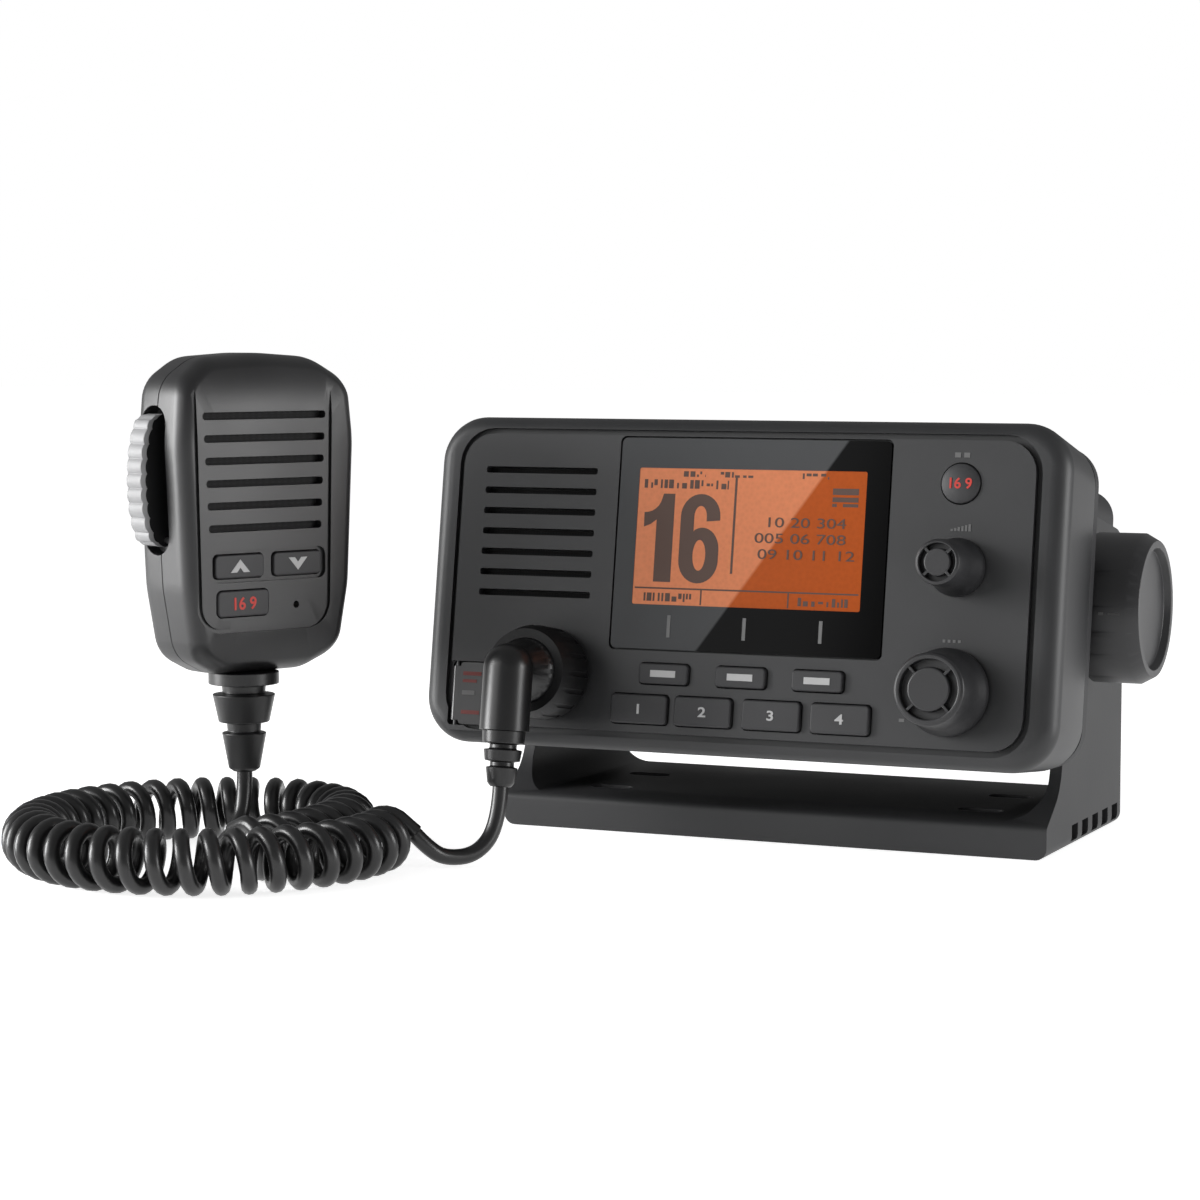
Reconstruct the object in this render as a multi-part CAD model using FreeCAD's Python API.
import FreeCAD, Part
import math
import os

V = FreeCAD.Vector

# Driving dimensions in millimetres.
FACE_W = 170.0
FACE_H = 85.0
BEZEL_DEPTH = 30.0
CORNER_R = 12.0
WALL = 2.5
FRONT_T = 3.0
PANEL_RISE = 0.6
TILT = 8.8
FACE_Y = -55.0
FACE_Z = 67.8

CHASSIS_W = 136.0
CHASSIS_H = 72.0
CHASSIS_END = 105.0
FLANGE_T = 3.2
GASKET_T = 0.8

PIVOT_DEPTH = 55.4
PIVOT_V = 1.9
BOSS_FACE = 70.1

BRACKET_W = 150.0
BRACKET_FRONT = -32.0
BRACKET_REAR = 38.0
BASE_H = 9.0
ARM_T = 3.2
ARM_FRONT = -18.4
ARM_TOP = 88.5
ARM_REAR_TOP = 78.0
SLOT_DX = 104.0
SLOT_DY = 26.0
SLOT_LEN = 12.0
SLOT_R = 2.6
STUD_R = 2.95
KNOB_R = 19.2

SLOT_LEFT = -70.4
SLOT_RIGHT = -38.8
SLOT_TOP = 28.3
SLOT_STEP = 5.3
SLOT_COUNT = 7
SLOT_H = 1.7

LENS = (-32.6, 40.3, -16.8, 37.4)
LCD = (-27.1, 34.0, -5.2, 29.5)
SOFT_KEYS = (-16.8, 4.0, 24.4)
SOFT_V = -22.7
SOFT_SIZE = (13.4, 5.2)
FUNCTION_KEYS = (-23.0, -5.6, 12.7, 30.8)
FUNCTION_V = -31.8
FUNCTION_SIZE = (15.4, 7.4)
KEY_GAP = 0.3
KEY_PROUD = 1.3
KEY_TRAVEL = 0.8
NUMBER_KEY = (58.2, 27.0)
NUMBER_R = 4.9
VOLUME = (58.5, 6.5)
SELECT = (57.8, -23.9)

SOCKET = (-48.3, -24.0)
ELBOW_DEPTH = -26.0
DOOR = (-76.5, -63.2, -38.0, -22.0)
DOOR_HINGE_ROOM = 0.6

HANDSET_AT = (-115.0, -100.0)
HANDSET_YAW = 66.5
HANDSET_FRONT = -10.0
HANDSET_SPLIT = 1.0
HANDSET_BACK = 12.0
HANDSET_LOW = 46.0

WIRE = 4.0
COIL_AT = (-111.0, -122.4)
COIL_RADIUS = 43.5
COIL_INNER = 26.5
COIL_START = 8.0
COIL_NARROWS = (290.0, 380.0)
CURL_R = 6.0
CURL_PITCH = 6.3
CURLS = 46
CURL_FIRST = 40.0
CURL_LAST = 120.0
VIEW_TURN = 24.2

LEAD_ROUTE = (
    (-48.3, -88.9, 18.9),
    (-48.3, -90.3, 9.5),
    (-51.5, -95.5, 2.6),
    (-57.0, -102.6, 2.4),
    (-60.2, -106.4, 5.9),
    (-62.5, -107.7, 8.9),
)
TAIL_ROUTE = (
    (-115.0, -100.0, 20.6),
    (-115.0, -100.0, 11.0),
    (-114.0, -108.5, 3.8),
    (-110.3, -119.5, 2.3),
    (-105.5, -129.5, 4.2),
    (-100.2, -134.1, 8.8),
    (-96.5, -136.3, 11.3),
)

parts = {}


def rounded(points, radii, lift):
    """Closed face through points with tangent corner arcs; lift maps (a, b) to space."""
    count = len(points)
    corners = []
    for i in range(count):
        before = V(*points[i - 1], 0)
        here = V(*points[i], 0)
        after = V(*points[(i + 1) % count], 0)
        r = radii[i] if isinstance(radii, (list, tuple)) else radii
        a = (before - here).normalize()
        b = (after - here).normalize()
        half = a.getAngle(b) / 2
        if r <= 0:
            corners.append((here, here, here))
            continue
        reach = r / math.tan(half)
        centre = here + (a + b).normalize() * (r / math.sin(half))
        middle = centre + (here - centre).normalize() * r
        corners.append((here + a * reach, middle, here + b * reach))
    edges = []
    for i in range(count):
        start, middle, end = corners[i]
        if (start - end).Length > 1e-6:
            edges.append(Part.Arc(lift(start), lift(middle), lift(end)).toShape())
        following = corners[(i + 1) % count][0]
        if (end - following).Length > 1e-6:
            edges.append(Part.makeLine(lift(end), lift(following)))
    return Part.Face(Part.Wire(edges))


def upright(y):
    return lambda p: V(p.x, y, p.y)


def slab(w, h, r, y0, y1, x=0.0, z=0.0):
    """Rounded rectangle seen from the front, from depth y0 to y1."""
    a, b = w / 2, h / 2
    points = [(x - a, z - b), (x + a, z - b), (x + a, z + b), (x - a, z + b)]
    return rounded(points, r, upright(y0)).extrude(V(0, y1 - y0, 0))


def area(limits, r, y0, y1, grow=0.0):
    x0, x1, z0, z1 = limits
    return slab(x1 - x0 + 2 * grow, z1 - z0 + 2 * grow, r, y0, y1, (x0 + x1) / 2, (z0 + z1) / 2)


def rod(r, y0, y1, x=0.0, z=0.0):
    return Part.makeCylinder(r, y1 - y0, V(x, y0, z), V(0, 1, 0))


def turned(profile, x=0.0, z=0.0):
    """Solid of revolution about a front-to-back axis; profile holds (radius, depth)."""
    points = [V(r, y, 0) for r, y in profile]
    face = Part.Face(Part.makePolygon(points + [points[0]]))
    solid = face.revolve(V(0, 0, 0), V(0, 1, 0), 360)
    solid.translate(V(x, 0, z))
    return solid


def joined(shapes):
    shape = shapes[0]
    if len(shapes) > 1:
        shape = shape.fuse(list(shapes[1:]))
    return shape.removeSplitter()


def on_face(shape):
    """Places a shape drawn about the face centre at the radio's rest tilt."""
    shape.rotate(V(0, 0, 0), V(1, 0, 0), -TILT)
    shape.translate(V(0, FACE_Y, FACE_Z))
    return shape


def on_handset(shape):
    shape.rotate(V(0, 0, 0), V(0, 0, 1), HANDSET_YAW)
    shape.translate(V(HANDSET_AT[0], HANDSET_AT[1], 0))
    return shape


def along_x(shape, side):
    """Turns a shape made along +y so that it points out along +x or -x."""
    shape.rotate(V(0, 0, 0), V(0, 0, 1), -90.0 * side)
    return shape


def front_edges(shape, y):
    return [e for e in shape.Edges if abs(e.BoundBox.YMin - y) < 1e-4 and abs(e.BoundBox.YMax - y) < 1e-4]


def make_bezel():
    outer = slab(FACE_W, FACE_H, CORNER_R, 0, BEZEL_DEPTH)
    outer = outer.makeFillet(4.4, front_edges(outer, 0))
    body = outer.fuse(slab(154, 75.6, 8, -PANEL_RISE, 0.5)).removeSplitter()
    body = body.cut(slab(FACE_W - 2 * WALL, FACE_H - 2 * WALL, CORNER_R - WALL, FRONT_T, BEZEL_DEPTH + 1))
    bosses = [rod(3.6, FRONT_T - 0.5, BEZEL_DEPTH, sx * 75.5, sz * 33.5) for sx in (-1, 1) for sz in (-1, 1)]
    body = body.fuse(bosses)
    door_box = area(DOOR, 1.0, 0, 9.5, 1.6)
    body = body.fuse(door_box)
    cuts = [rod(1.5, 18, BEZEL_DEPTH + 1, sx * 75.5, sz * 33.5) for sx in (-1, 1) for sz in (-1, 1)]
    middle = (SLOT_LEFT + SLOT_RIGHT) / 2
    length = SLOT_RIGHT - SLOT_LEFT
    for row in range(SLOT_COUNT):
        cuts.append(slab(length, SLOT_H, 0.6, -2, FRONT_T + 1, middle, SLOT_TOP - row * SLOT_STEP))
    cuts.append(area(LENS, 1.6, -2, 1.0, 0.15))
    cuts.append(area(LCD, 1.0, -2, FRONT_T + 1, 0.4))
    for u in SOFT_KEYS:
        cuts.append(slab(SOFT_SIZE[0] + 2 * KEY_GAP, SOFT_SIZE[1] + 2 * KEY_GAP, 1.3, -2, 4, u, SOFT_V))
    for u in FUNCTION_KEYS:
        cuts.append(slab(FUNCTION_SIZE[0] + 2 * KEY_GAP, FUNCTION_SIZE[1] + 2 * KEY_GAP, 1.3, -2, 4, u, FUNCTION_V))
    cuts.append(rod(NUMBER_R + KEY_GAP, -2, 4, *NUMBER_KEY))
    cuts.append(rod(3.5, -2, 4, *VOLUME))
    cuts.append(rod(4.5, -2, 4, *SELECT))
    cuts.append(rod(8.25, -2, 4, *SOCKET))
    # The recess is wider on the hinge side, where the leaf's edge swings past the pin.
    recess = (DOOR[0] - DOOR_HINGE_ROOM,) + DOOR[1:]
    cuts.append(area(recess, 1.0, -2, 2.4, 0.3))
    cuts.append(area(DOOR, 1.0, 2.0, 8.0, -1.2))
    hinge = Part.makeCylinder(0.6, 19.0, V(DOOR[0] + 1.0, 0.9, DOOR[2] - 1.5), V(0, 0, 1))
    cuts.append(hinge)
    return body.cut(cuts)


def make_key(w, h, u, v):
    cap = slab(w, h, 1.1, -PANEL_RISE - KEY_PROUD, FRONT_T + 0.5, u, v)
    cap = cap.makeFillet(0.5, front_edges(cap, -PANEL_RISE - KEY_PROUD))
    return cap.fuse(slab(w + 1.4, h + 1.0, 1.2, FRONT_T + 0.1, FRONT_T + 0.8, u, v)).removeSplitter()


def make_keys():
    for i, u in enumerate(SOFT_KEYS):
        parts["soft_key_%d" % (i + 1)] = make_key(SOFT_SIZE[0], SOFT_SIZE[1], u, SOFT_V)
    for i, u in enumerate(FUNCTION_KEYS):
        parts["function_key_%d" % (i + 1)] = make_key(FUNCTION_SIZE[0], FUNCTION_SIZE[1], u, FUNCTION_V)
    top = -PANEL_RISE - KEY_PROUD
    dome = [(0, top), (3.6, top + 0.1), (NUMBER_R, top + 0.8), (NUMBER_R, 3.1),
            (5.9, 3.1), (5.9, 3.8), (0, 3.8)]
    parts["number_key"] = turned(dome, *NUMBER_KEY)
    mat = slab(78, 21, 2, 5.0, 5.9, 3.9, -27.2)
    posts = [rod(1.8, 4.75, 5.2, u, SOFT_V) for u in SOFT_KEYS]
    posts += [rod(1.8, 4.75, 5.2, u, FUNCTION_V) for u in FUNCTION_KEYS]
    mat = mat.fuse(posts).removeSplitter()
    parts["keypad_mat"] = Part.makeCompound([mat, rod(6.5, 5.0, 5.9, *NUMBER_KEY)])


def make_knob(base_r, tip_r, back, front, bore_r, bore_end):
    """Flared knob with a recessed broken ring in its face."""
    profile = [(0, front), (tip_r - 0.8, front), (tip_r, front + 0.7), (tip_r + 0.3, front + 5.0),
               (base_r - 1.3, back - 4.2), (base_r, back - 2.0), (base_r, back), (0, back)]
    knob = turned(profile)
    ring = rod(tip_r * 0.80, front - 1, front + 0.6).cut(rod(tip_r * 0.62, front - 1, front + 0.6))
    bars = []
    for k in range(4):
        bar = Part.makeBox(tip_r, 3, 0.9, V(0, front - 1, -0.45))
        bar.rotate(V(0, 0, 0), V(0, 1, 0), 45 + 90 * k)
        bars.append(bar)
    knob = knob.cut(ring.cut(bars))
    return knob.cut(rod(bore_r, bore_end, back + 1)).removeSplitter()


def placed(shape, at):
    shape.translate(V(at[0], 0, at[1]))
    return shape


def make_knobs():
    bush = turned([(2.06, -0.4), (3.2, -0.4), (3.2, 3.1), (5.5, 3.1), (5.5, 8.0), (2.06, 8.0)])
    parts["volume_encoder"] = placed(bush, VOLUME)
    shaft = turned([(0, -12.5), (2.0, -12.5), (2.0, 7.2), (0, 7.2)])
    parts["volume_shaft"] = placed(shaft, VOLUME)
    parts["volume_knob"] = placed(make_knob(7.2, 5.6, -1.1, -17.0, 2.0, -12.5), VOLUME)
    bush = turned([(3.06, -0.4), (4.2, -0.4), (4.2, 3.1), (6.5, 3.1), (6.5, 8.0), (3.06, 8.0)])
    parts["select_encoder"] = placed(bush, SELECT)
    shaft = turned([(0, -12.0), (2.2, -12.0), (2.2, -3.2), (3.0, -3.2), (3.0, 6.8), (0, 6.8)])
    parts["select_shaft"] = placed(shaft, SELECT)
    parts["select_knob"] = placed(make_knob(10.8, 8.9, -1.9, -16.0, 2.26, -12.1), SELECT)
    bore = rod(3.3, -3.6, 0, *SELECT)
    parts["select_knob"] = parts["select_knob"].cut(bore)


def make_display():
    parts["display_window"] = area(LENS, 1.5, -PANEL_RISE, 1.0)
    screen = area(LCD, 0.8, 1.2, 4.2)
    parts["lcd_module"] = screen.fuse(slab(66, 42, 1.0, 4.2, 7.4, 3.4, 12.2)).removeSplitter()
    parts["lcd_module"] = parts["lcd_module"].cut(slab(70, 6, 0.5, 4.2, 8, 3.4, -12.0))


def make_speaker():
    parts["speaker_mesh"] = slab(36, 38, 2, FRONT_T, FRONT_T + 0.4, -54.6, 12.4)
    cone = [(0, 9.5), (6, 7.5), (14.5, 4.6), (16.6, 4.0), (16.6, 3.4), (18.2, 3.4), (18.2, 6.5), (9.5, 11.5),
            (9.5, 17.5), (0, 17.5)]
    parts["speaker"] = turned(cone, -54.6, 12.4)
    board = slab(148, 70, 4, 8.0, 9.6)
    board = board.cut(rod(19.5, 7, 11, -54.6, 12.4)).cut(rod(8.3, 7, 11, *SOCKET))
    board = board.cut([rod(4.0, 7, 11, sx * 75.5, sz * 33.5) for sx in (-1, 1) for sz in (-1, 1)])
    board = board.cut(area(DOOR, 1.0, 7, 11, 2.0))
    parts["main_board"] = board


def make_socket():
    barrel = [(5.2, 2.0), (6.0, 2.0), (6.0, -10.0), (8.2, -10.0), (8.2, -2.2), (10.6, -2.2), (10.6, -PANEL_RISE),
              (8.2, -PANEL_RISE), (8.2, 7.0), (0, 7.0), (0, 2.0)]
    parts["mic_socket"] = turned(barrel[2:] + [(6.0, 2.0)], *SOCKET)
    nut = turned([(8.2, FRONT_T), (10.8, FRONT_T), (10.8, 5.4), (8.2, 5.4)], *SOCKET)
    parts["socket_nut"] = nut


def make_plug():
    u, v = SOCKET
    nose = turned([(0, 1.2), (5.85, 1.2), (5.85, -10.2), (8.2, -10.2), (8.2, -17.2), (7.6, -18.0),
                   (6.4, ELBOW_DEPTH + 3.5), (5.4, ELBOW_DEPTH), (0, ELBOW_DEPTH)], u, v)
    stem = Part.makeCylinder(6.2, 15.5, V(u, ELBOW_DEPTH, v - 15.5), V(0, 0, 1))
    crown = Part.makeSphere(6.2, V(u, ELBOW_DEPTH, v))
    elbow = nose.fuse([stem, crown]).removeSplitter()
    parts["plug_elbow"] = elbow
    ring = turned([(8.28, -2.6), (11.2, -2.6), (11.8, -3.4), (11.8, -12.0), (10.6, -16.6), (8.28, -16.6)], u, v)
    grips = []
    for k in range(16):
        turn = math.radians(22.5 * k)
        grips.append(rod(0.9, -13.5, -4.2, u + 12.3 * math.cos(turn), v + 12.3 * math.sin(turn)))
    parts["coupling_ring"] = ring.cut(grips)
    low = v - 15.5
    profile = [(0, 0), (5.4, 0), (5.2, -3.2), (3.4, -3.4), (3.4, -4.6), (4.8, -4.8), (4.4, -7.6), (3.0, -7.8),
               (3.0, -9.0), (4.0, -9.2), (3.4, -13.0), (2.6, -14.0), (0, -14.0)]
    points = [V(r, 0, h) for r, h in profile]
    relief = Part.Face(Part.makePolygon(points + [points[0]])).revolve(V(0, 0, 0), V(0, 0, 1), 360)
    relief.translate(V(u, ELBOW_DEPTH, low))
    parts["plug_strain_relief"] = relief


def make_door():
    x0, x1, z0, z1 = DOOR
    leaf = slab(x1 - x0 - 2.4, z1 - z0, 1.0, -PANEL_RISE, 0.9, (x0 + x1) / 2 + 1.2, (z0 + z1) / 2)
    leaf = leaf.fuse(Part.makeBox(1.6, 1.3, z1 - z0 - 2.0, V(x0 + 1.2, -0.4, z0 + 1.0)))
    barrel = Part.makeCylinder(1.3, z1 - z0 - 2.0, V(x0 + 1.0, 0.9, z0 + 1.0), V(0, 0, 1))
    bore = Part.makeCylinder(0.66, z1 - z0, V(x0 + 1.0, 0.9, z0), V(0, 0, 1))
    tab = slab(3.2, 3.0, 0.6, -PANEL_RISE - 0.7, 0.2, x1 - 2.2, (z0 + z1) / 2)
    parts["distress_door"] = joined([leaf, barrel, tab]).cut(bore)
    parts["door_pin"] = Part.makeCylinder(0.6, 18.6, V(x0 + 1.0, 0.9, z0 - 1.3), V(0, 0, 1))
    parts["distress_button"] = turned([(0, 2.5), (3.6, 2.6), (4.2, 3.2), (4.2, 6.6), (0, 6.6)],
                                      (x0 + x1) / 2 + 0.6, (z0 + z1) / 2)


def make_chassis():
    start = BEZEL_DEPTH + GASKET_T
    flange = slab(166, 81, 10, start, start + FLANGE_T)
    body = slab(CHASSIS_W, CHASSIS_H, 8, start + 1, CHASSIS_END, 0, 1.0)
    shell = flange.fuse(body)
    pads = []
    for side in (-1, 1):
        pads.append(Part.makeCylinder(12.0, 14.1, V(side * BOSS_FACE, PIVOT_DEPTH, PIVOT_V), V(-side, 0, 0)))
    shell = shell.fuse(pads)
    inside = slab(CHASSIS_W - 6, CHASSIS_H - 6, 5, start - 1, CHASSIS_END - 4, 0, 1.0)
    inside = inside.cut([Part.makeCylinder(9.0, 12.0, V(s * 69.0, PIVOT_DEPTH, PIVOT_V), V(-s, 0, 0)) for s in (-1, 1)])
    shell = shell.cut(inside)
    fins = []
    for k in range(11):
        fins.append(Part.makeBox(2.4, 9.0, 32.0, V(-56.2 + 11.0 * k, CHASSIS_END - 1.5, 1.0)))
    for k in range(7):
        fins.append(Part.makeBox(2.4, 62.0, 4.0, V(-49.2 + 16.0 * k, 40.0, 35.5)))
    shell = shell.fuse(fins)
    holes = [rod(1.8, start - 1, start + FLANGE_T + 1, sx * 75.5, sz * 33.5) for sx in (-1, 1) for sz in (-1, 1)]
    for side in (-1, 1):
        holes.append(Part.makeCylinder(5.0, 12.1, V(side * (BOSS_FACE + 2), PIVOT_DEPTH, PIVOT_V), V(-side, 0, 0)))
    holes.append(rod(3.0, CHASSIS_END - 6, CHASSIS_END + 1, -40, -20))
    holes.append(rod(4.0, CHASSIS_END - 6, CHASSIS_END + 1, 0, -20))
    holes.append(rod(5.0, CHASSIS_END - 6, CHASSIS_END + 1, 40, -20))
    parts["rear_chassis"] = shell.cut(holes)
    gasket = slab(164, 79.5, 9.5, BEZEL_DEPTH, start).cut(slab(159.5, 75, 7.5, BEZEL_DEPTH - 1, start + 1))
    parts["front_gasket"] = gasket
    screws = []
    for sx in (-1, 1):
        for sz in (-1, 1):
            screws.append(turned([(0, 20.0), (1.45, 20.0), (1.45, 34.0), (3.0, 34.0), (2.6, 36.0), (0, 36.0)],
                                 sx * 75.5, sz * 33.5))
    parts["chassis_screws"] = Part.makeCompound(screws)
    inserts = []
    for side in (-1, 1):
        sleeve = Part.makeCylinder(5.0, 10.1, V(side * BOSS_FACE, PIVOT_DEPTH, PIVOT_V), V(-side, 0, 0))
        bore = Part.makeCylinder(3.03, 12.0, V(side * (BOSS_FACE + 1), PIVOT_DEPTH, PIVOT_V), V(-side, 0, 0))
        inserts.append(sleeve.cut(bore))
    parts["pivot_inserts"] = Part.makeCompound(inserts)


def make_connectors():
    end = CHASSIS_END
    flange = slab(22, 22, 2, end, end + 1.8, -40, -20)
    barrel = turned([(2.0, end + 13.5), (2.0, end + 6), (5.6, end + 6), (5.6, end + 14), (7.9, end + 14),
                     (7.9, end), (0, end), (0, end + 13.5)], -40, -20)
    parts["antenna_socket"] = flange.fuse(barrel).removeSplitter()
    parts["data_connector"] = turned([(0, end), (9.0, end), (9.0, end + 2), (6.0, end + 2), (6.0, end + 13),
                                      (4.6, end + 13), (4.6, end + 5), (0, end + 5)], 0, -20)
    parts["power_gland"] = turned([(2.6, end), (9.0, end), (9.0, end + 4), (7.4, end + 4.6), (7.0, end + 11),
                                   (5.0, end + 16), (2.6, end + 16)], 40, -20)


def make_bracket():
    half = BRACKET_W / 2
    inner = half - ARM_T
    outline = [(-half, 0), (half, 0), (half, 90), (inner, 90), (inner, BASE_H), (-inner, BASE_H),
               (-inner, 90), (-half, 90)]
    depth = BRACKET_REAR - BRACKET_FRONT
    frame = rounded(outline, [3.0, 3.0, 0, 0, 9.0, 9.0, 0, 0], upright(BRACKET_FRONT))
    frame = frame.extrude(V(0, depth, 0))
    side = [(BRACKET_FRONT, 0), (BRACKET_REAR, 0), (BRACKET_REAR, ARM_REAR_TOP), (-11.0, ARM_TOP),
            (ARM_FRONT, 68.0), (ARM_FRONT, 17.0), (BRACKET_FRONT, 8.0)]
    sweep = rounded(side, [0, 0, 9, 6, 8, 14, 2], lambda p: V(-half - 1, p.x, p.y))
    body = frame.common(sweep.extrude(V(BRACKET_W + 2, 0, 0)))
    hollow = Part.makeBox(BRACKET_W - 8, depth - 6, 6.0, V(-half + 4, BRACKET_FRONT + 3, -1))
    keep = []
    for k in range(9):
        keep.append(Part.makeBox(1.6, depth, 8, V(-64.8 + 16.0 * k, BRACKET_FRONT, -1.5)))
    for sx in (-1, 1):
        for sy in (-1, 1):
            keep.append(Part.makeBox(SLOT_LEN + 6, 11, 8, V(sx * SLOT_DX / 2 - 9, sy * SLOT_DY / 2 - 5.5, -1.5)))
    body = body.cut(hollow.cut(keep))
    cuts = []
    for sx in (-1, 1):
        for sy in (-1, 1):
            x, y = sx * SLOT_DX / 2, sy * SLOT_DY / 2
            run = SLOT_LEN / 2 - SLOT_R
            slot = Part.makeBox(2 * run, 2 * SLOT_R, 20, V(x - run, y - SLOT_R, -2))
            ends = [Part.makeCylinder(SLOT_R, 20, V(x + s * run, y, -2)) for s in (-1, 1)]
            cuts.append(slot.fuse(ends).removeSplitter())
    for k in range(5):
        for x in (half - 2.0, -half - 1.0):
            cuts.append(Part.makeBox(3.0, 5.6, 4.2, V(x, -9.0 + 9.6 * k, 1.6)))
    pivot = pivot_point()
    cuts.append(Part.makeCylinder(3.3, BRACKET_W + 4, V(-half - 2, pivot.y, pivot.z), V(1, 0, 0)))
    parts["bracket"] = body.cut(cuts)


def pivot_point():
    turn = math.radians(TILT)
    y = FACE_Y + PIVOT_DEPTH * math.cos(turn) + PIVOT_V * math.sin(turn)
    z = FACE_Z - PIVOT_DEPTH * math.sin(turn) + PIVOT_V * math.cos(turn)
    return V(0, y, z)


def make_bracket_knobs():
    pivot = pivot_point()
    half = BRACKET_W / 2
    rise = half + 0.3
    grip = [(0, rise + 1.0), (13.0, rise + 1.0), (13.0, rise), (16.5, rise), (KNOB_R, rise + 3.0),
            (KNOB_R, rise + 13.2), (17.4, rise + 16.0), (15.6, rise + 16.0), (14.9, rise + 14.4), (0, rise + 14.0)]
    washers = []
    for name, side in (("right", 1), ("left", -1)):
        knob = turned(grip)
        mark = Part.makeBox(1.2, 9.0, 0.7, V(-0.6, rise + 4.0, KNOB_R - 0.35))
        knob = knob.fuse(mark).removeSplitter()
        knob.rotate(V(0, 0, 0), V(0, 1, 0), -75 if side > 0 else 75)
        knob = knob.cut(rod(STUD_R, rise - 1, rise + 9))
        stud = rod(STUD_R, BOSS_FACE - 9.0, rise + 9)
        washer = rod(12.0, BOSS_FACE + 0.1, half - ARM_T).cut(rod(3.6, 60, 80))
        for shape in (knob, stud, washer):
            along_x(shape, side)
            shape.translate(V(0, pivot.y, pivot.z))
        parts[name + "_bracket_knob"] = knob
        parts[name + "_knob_stud"] = stud
        washers.append(washer)
    parts["pivot_washers"] = Part.makeCompound(washers)


def handset_outline(shrink, y):
    s = shrink
    points = [(-15 + s / 2, HANDSET_LOW + s), (15 - s / 2, HANDSET_LOW + s), (22.6 - s, 51.5 + s / 2),
              (25.2 - s, 66), (25.8 - s, 106), (23.8 - s, 119 - s / 2), (17.5, 125.8 - s),
              (-17.5, 125.8 - s), (-23.8 + s, 119 - s / 2), (-25.8 + s, 106), (-25.2 + s, 66),
              (-22.6 + s, 51.5 + s / 2)]
    radii = [5, 5, 6, 20, 30, 7, 8, 8, 7, 30, 20, 6]
    radii = [max(1.0, r - s) for r in radii]
    return rounded(points, radii, upright(y))


def make_handset_covers():
    front = handset_outline(0, HANDSET_FRONT).extrude(V(0, HANDSET_SPLIT - HANDSET_FRONT, 0))
    front = front.makeFillet(3.2, front_edges(front, HANDSET_FRONT))
    depth = HANDSET_SPLIT - HANDSET_FRONT
    front = front.cut(handset_outline(2.2, HANDSET_FRONT + 2.4).extrude(V(0, depth, 0)))
    cuts = []
    for row in range(6):
        length = 37.6 - 0.6 * row
        cuts.append(slab(length, 1.9, 0.8, -12, -6, 0, 110.7 - 5.55 * row))
    cuts.append(slab(35.4, 8.0, 2.0, -12, HANDSET_FRONT + 0.8, 1.0, 73.4))
    cuts.append(slab(15.4, 6.4, 1.4, -12, -6, -7.9, 73.4))
    cuts.append(slab(15.4, 6.4, 1.4, -12, -6, 9.9, 73.4))
    cuts.append(slab(16.0, 7.0, 1.6, -12, -6, -7.3, 64.2))
    cuts.append(rod(0.9, -12, -6, 9.2, 63.0))
    groove = slab(42.6, 62.0, 6.0, -12, HANDSET_FRONT + 0.5, -0.4, 88.4)
    groove = groove.cut(slab(41.4, 60.8, 5.4, -12, HANDSET_FRONT + 0.6, -0.4, 88.4))
    groove = groove.cut(Part.makeBox(60, 10, 12, V(-30, -14, 116)))
    cuts.append(groove)
    talk = Part.makeBox(12, 12.0, 36.5, V(-32, -5.2, 76.5))
    cuts.append(talk)
    parts["handset_front"] = front.cut(cuts)
    back = handset_outline(0, HANDSET_SPLIT).extrude(V(0, HANDSET_BACK - HANDSET_SPLIT, 0))
    back = back.makeFillet(4.5, front_edges(back, HANDSET_BACK))
    depth = HANDSET_BACK - HANDSET_SPLIT
    back = back.cut(handset_outline(2.2, HANDSET_SPLIT - 1).extrude(V(0, depth - 1.4, 0)))
    back = back.cut(talk)
    posts = [rod(2.6, HANDSET_SPLIT, HANDSET_BACK - 1, x, z) for x in (-17, 17) for z in (54, 117)]
    back = back.fuse(posts).cut([rod(1.3, HANDSET_SPLIT - 1, HANDSET_BACK + 1, x, z)
                                 for x in (-17, 17) for z in (54, 117)])
    back = back.cut([rod(2.4, HANDSET_BACK - 1.6, HANDSET_BACK + 1, x, z) for x in (-17, 17) for z in (54, 117)])
    parts["handset_rear"] = back.cut(rod(2.0, HANDSET_BACK - 4, HANDSET_BACK + 1, 0, 104))
    screws = []
    for x in (-17, 17):
        for z in (54, 117):
            screws.append(turned([(0, 2.0), (1.25, 2.0), (1.25, 10.5), (2.3, 10.5), (2.3, 11.6), (0, 11.6)], x, z))
    parts["handset_screws"] = Part.makeCompound(screws)
    parts["hang_stud"] = turned([(0, 8.2), (1.95, 8.2), (1.95, 12.0), (4.0, 12.0), (4.0, 15.4), (7.5, 15.4),
                                 (7.5, 17.4), (6.6, 18.2), (0, 18.2)], 0, 104)


def make_talk_lever():
    lever = rounded([(-23.9, 78.2), (-20.5, 78.2), (-20.5, 111.4), (-25.4, 111.4), (-28.2, 107), (-28.2, 83)],
                    [0.8, 0.8, 0.8, 1.5, 5, 5], upright(-4.4)).extrude(V(0, 9.4, 0))
    ribs = []
    for k in range(9):
        ribs.append(Part.makeBox(1.2, 9.4, 1.4, V(-28.9, -4.4, 83.6 + 2.75 * k)))
    lever = lever.fuse(ribs).removeSplitter()
    lever = lever.cut(rod(0.86, -6, 6, -22.2, 80.0))
    parts["talk_lever"] = lever
    parts["talk_pin"] = rod(0.8, -5.1, 5.7, -22.2, 80.0)


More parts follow.
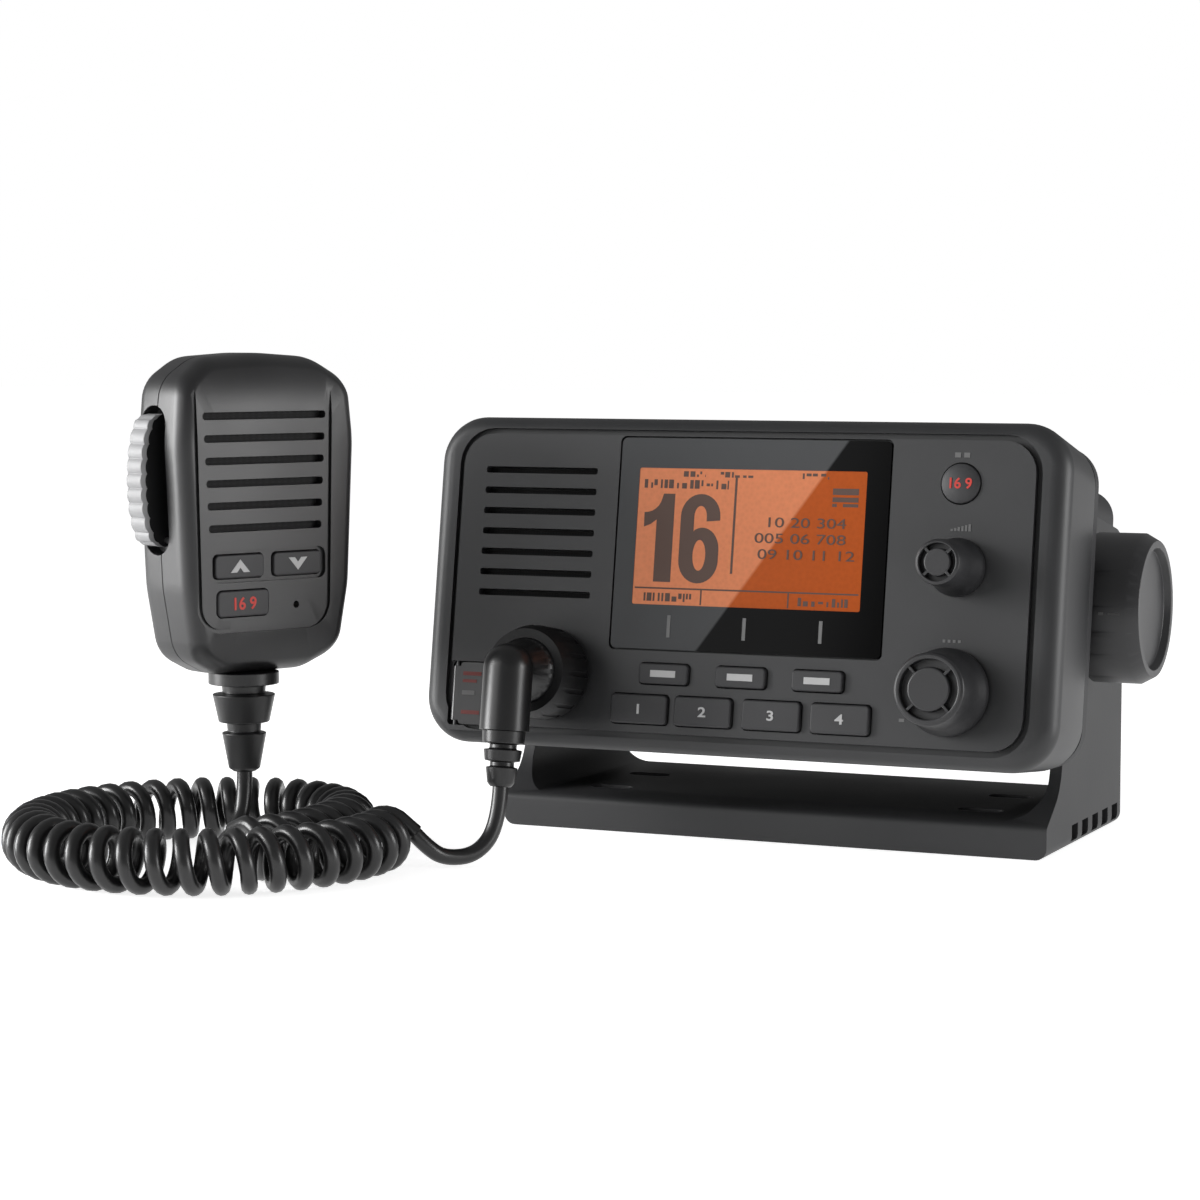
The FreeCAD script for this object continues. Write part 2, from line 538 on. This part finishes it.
def make_handset_keys():
    front = HANDSET_FRONT
    for name, x, z, w, h, proud in (("handset_up_key", -7.9, 73.4, 14.8, 5.8, 0.0),
                                    ("handset_down_key", 9.9, 73.4, 14.8, 5.8, 0.0),
                                    ("handset_number_key", -7.3, 64.2, 15.4, 6.4, 0.7)):
        cap = slab(w, h, 1.2, front - proud + 0.1, front + 3.0, x, z)
        cap = cap.makeFillet(0.4, front_edges(cap, front - proud + 0.1))
        parts[name] = cap.fuse(slab(w + 1.2, h + 1.0, 1.0, front + 2.5, front + 3.2, x, z)).removeSplitter()
    parts["handset_mesh"] = slab(40, 34, 2, front + 2.4, front + 2.8, 0, 97)
    cone = [(0, -3.8), (5, -5.4), (14.0, -7.0), (15.0, -7.2), (16.5, -7.2), (16.5, -4.5), (8, -1.5), (8, 0.6), (0, 0.6)]
    parts["handset_speaker"] = turned(cone, 0, 97)
    parts["handset_board"] = slab(40, 21, 2, front + 4.4, front + 5.6, 0, 68.5)
    parts["mic_capsule"] = rod(3.0, front + 2.5, front + 4.4, 9.2, 63.0)


def make_handset_relief():
    profile = [(0, 46.0), (8.9, 46.0), (8.9, 42.9), (5.6, 42.6), (5.4, 40.6), (7.9, 40.2), (6.4, 33.2), (4.4, 33.0),
               (4.2, 30.7), (5.6, 30.4), (3.95, 21.4), (2.8, 20.6), (0, 20.6)]
    points = [V(r, 0, h) for r, h in profile]
    relief = Part.Face(Part.makePolygon(points + [points[0]])).revolve(V(0, 0, 0), V(0, 0, 1), 360)
    parts["handset_strain_relief"] = relief


def tube(name, route):
    """Round tube along straight runs joined by tangent arcs as large as the runs allow."""
    points = [V(*p) for p in route]
    runs = [(points[i + 1] - points[i]).Length for i in range(len(points) - 1)]
    edges = []
    here = points[0]
    radii = []
    for i in range(1, len(points) - 1):
        before = (points[i - 1] - points[i]).normalize()
        after = (points[i + 1] - points[i]).normalize()
        half_turn = (math.pi - before.getAngle(after)) / 2
        reach = 0.45 * min(runs[i - 1], runs[i])
        radius = reach / math.tan(half_turn)
        radii.append(round(radius, 1))
        start = points[i] + before * reach
        end = points[i] + after * reach
        bisector = (before + after).normalize()
        middle = points[i] + bisector * (radius / math.cos(half_turn) - radius)
        edges.append(Part.makeLine(here, start))
        edges.append(Part.Arc(start, middle, end).toShape())
        here = end
    edges.append(Part.makeLine(here, points[-1]))
    path = Part.Wire(edges)
    shape = swept(path, points[0], points[1] - points[0])
    print(name, "radii", radii, "length", round(path.Length, 1),
          "volume ratio", round(shape.Volume / (math.pi * WIRE ** 2 / 4 * path.Length), 4))
    return shape


def swept(path, start, direction):
    ring = Part.Wire(Part.Circle(start, direction, WIRE / 2).toShape())
    return path.makePipeShell([ring], True, False)


def arc_through(start, apex, end):
    middle = (start + end) * 0.5
    height = (apex - middle).Length
    if height < 1e-6:
        return Part.makeLine(start, end)
    chord = (start - middle).Length
    side = math.hypot(chord, height)
    radius = chord * side / height
    rise = radius * (1 - chord / side)
    return Part.Arc(start, middle + (apex - middle) * (rise / height), end).toShape()


def biarc(p0, t0, p1, t1):
    gap = p1 - p0
    both = t0 + t1
    a = 2 * (1 - t0.dot(t1))
    b = 2 * gap.dot(both)
    c = -gap.dot(gap)
    d = (-b + math.sqrt(b * b - 4 * a * c)) / (2 * a)
    q0 = p0 + t0 * d
    q1 = p1 - t1 * d
    centre = (q0 + q1) * 0.5
    return [arc_through(p0, q0, centre), arc_through(centre, q1, p1)]


def ring_radius(turn):
    low, high = COIL_NARROWS
    share = min(1.0, max(0.0, (turn - low) / (high - low)))
    ease = share * share * (3 - 2 * share)
    return COIL_RADIUS + (COIL_INNER - COIL_RADIUS) * ease


def curl_frame(turn):
    """Place and directions on the ring: turn counts from the view's right, towards the viewer."""
    view = math.radians(VIEW_TURN)
    a = math.radians(turn) - view
    out = V(math.cos(a), -math.sin(a), 0)
    ahead = V(-math.sin(a), -math.cos(a), 0)
    centre = V(COIL_AT[0], COIL_AT[1], CURL_R + WIRE / 2 + 0.05) + out * ring_radius(turn)
    return centre, out, ahead


def curly_points(steps_per_curl):
    total = CURLS + (CURL_LAST - CURL_FIRST) / 360.0
    count = int(round(total * steps_per_curl))
    stations = []
    turn = COIL_START
    for k in range(count + 1):
        phase = math.radians(CURL_FIRST + 360.0 * total * k / count)
        centre, out, ahead = curl_frame(turn)
        up = V(0, 0, 1)
        point = centre + out * (CURL_R * math.cos(phase)) + up * (CURL_R * math.sin(phase))
        tangent = out * (-CURL_R * math.sin(phase)) + up * (CURL_R * math.cos(phase))
        tangent = tangent + ahead * (CURL_PITCH / (2 * math.pi))
        stations.append((point, tangent.normalize()))
        step = CURL_PITCH * total / count
        turn += math.degrees(step / ring_radius(turn))
    return stations


def make_curly_cord():
    stations = curly_points(2)
    first, first_t = stations[0]
    last, last_t = stations[-1]
    edges = [Part.makeLine(first - first_t * WIRE, first)]
    for (p0, t0), (p1, t1) in zip(stations[:-1], stations[1:]):
        edges += biarc(p0, t0, p1, t1)
    edges.append(Part.makeLine(last, last + last_t * WIRE))
    path = Part.Wire(edges)
    shape = swept(path, first - first_t * WIRE, first_t)
    print("curly start", first - first_t * WIRE, first_t, "end", last + last_t * WIRE, last_t)
    print("curly length", round(path.Length, 1), "volume ratio",
          round(shape.Volume / (math.pi * WIRE ** 2 / 4 * path.Length), 4))
    fine = [p for p, t in curly_points(24)]
    least = 1e9
    for i in range(len(fine)):
        for j in range(i + 12, min(i + 60, len(fine))):
            least = min(least, (fine[i] - fine[j]).Length)
    print("curly least gap", round(least - WIRE, 2))
    return shape


def make_cords():
    parts["cord_lead"] = tube("lead", LEAD_ROUTE)
    parts["curly_cord"] = make_curly_cord()
    parts["cord_tail"] = tube("tail", TAIL_ROUTE)


parts["front_bezel"] = make_bezel()
make_keys()
make_knobs()
make_display()
make_speaker()
make_socket()
make_plug()
make_door()
make_chassis()
make_connectors()
for node in parts:
    on_face(parts[node])
radio_nodes = set(parts)
make_handset_covers()
make_talk_lever()
make_handset_keys()
make_handset_relief()
for node in parts:
    if node not in radio_nodes:
        on_handset(parts[node])
make_bracket()
make_bracket_knobs()
make_cords()

os.makedirs("parts", exist_ok=True)
for node, shape in parts.items():
    if not shape.isValid():
        print("not valid:", node)
    shape.exportStep("parts/%s.step" % node)
print(len(parts), "nodes")
